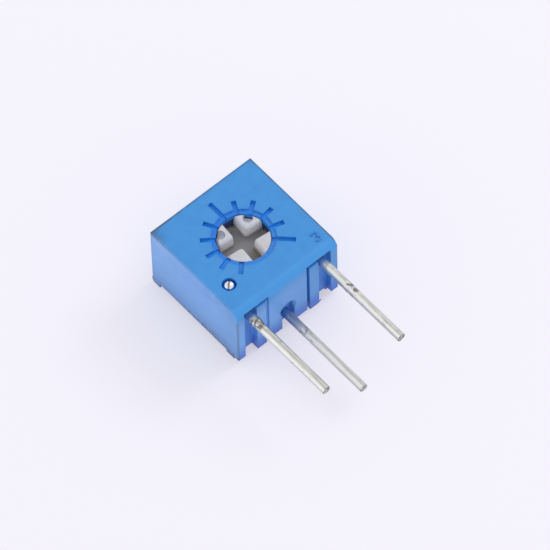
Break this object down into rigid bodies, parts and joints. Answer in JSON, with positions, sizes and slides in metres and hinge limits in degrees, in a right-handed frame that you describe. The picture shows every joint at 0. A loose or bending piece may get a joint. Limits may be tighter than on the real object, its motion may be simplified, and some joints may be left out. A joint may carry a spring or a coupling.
{
  "type": "trimmer potentiometer",
  "caption": "Small square blue trimmer potentiometer with a slotted dial rotor in its top, a vent ball, and wire leads that leave one side.",
  "frame": {"origin": "where the middle lead's axis crosses the board seating plane", "axes": "+Y from the seating plane to the back wall, so the leads point along -Y; +Z out of the dial face; +X to the right seen from above with the leads towards the viewer"},
  "size_m": [0.007, 0.0133, 0.0049],
  "materials": {
    "housing_plastic": "blue moulded thermoset with fine satin grain",
    "rotor_plastic": "warm light grey moulded plastic, satin",
    "seal_rubber": "black silicone rubber",
    "wiper_metal": "pale precious-metal alloy strip",
    "substrate_ceramic": "white alumina, matt",
    "track_film": "black fired resistive film",
    "pad_film": "grey fired conductor film",
    "tinned_wire": "bright tinned copper wire",
    "solder": "bright solder",
    "epoxy": "blue cast epoxy, glossy",
    "ball_steel": "polished steel ball"
  },
  "bodies": {
    "body": {"housing": "housing_plastic", "substrate": "substrate_ceramic", "resistor_track": "track_film", "end_pad_1": "pad_film", "end_pad_3": "pad_film", "collector_pad": "pad_film", "terminal_1": "tinned_wire", "terminal_2": "tinned_wire", "terminal_3": "tinned_wire", "solder_1": "solder", "solder_2": "solder", "solder_3": "solder", "epoxy_seal": "epoxy", "vent_ball": "ball_steel"},
    "rotor": {"rotor": "rotor_plastic", "rotor_seal": "seal_rubber", "wiper": "wiper_metal"}
  },
  "joints": [
    {"name": "rotor_turn", "type": "hinge", "parent": "body", "child": "rotor", "pos_m": [0, 0.00353, 0], "axis": [0, 0, 1], "range_deg": [-129.3, 140.7]}
  ]
}
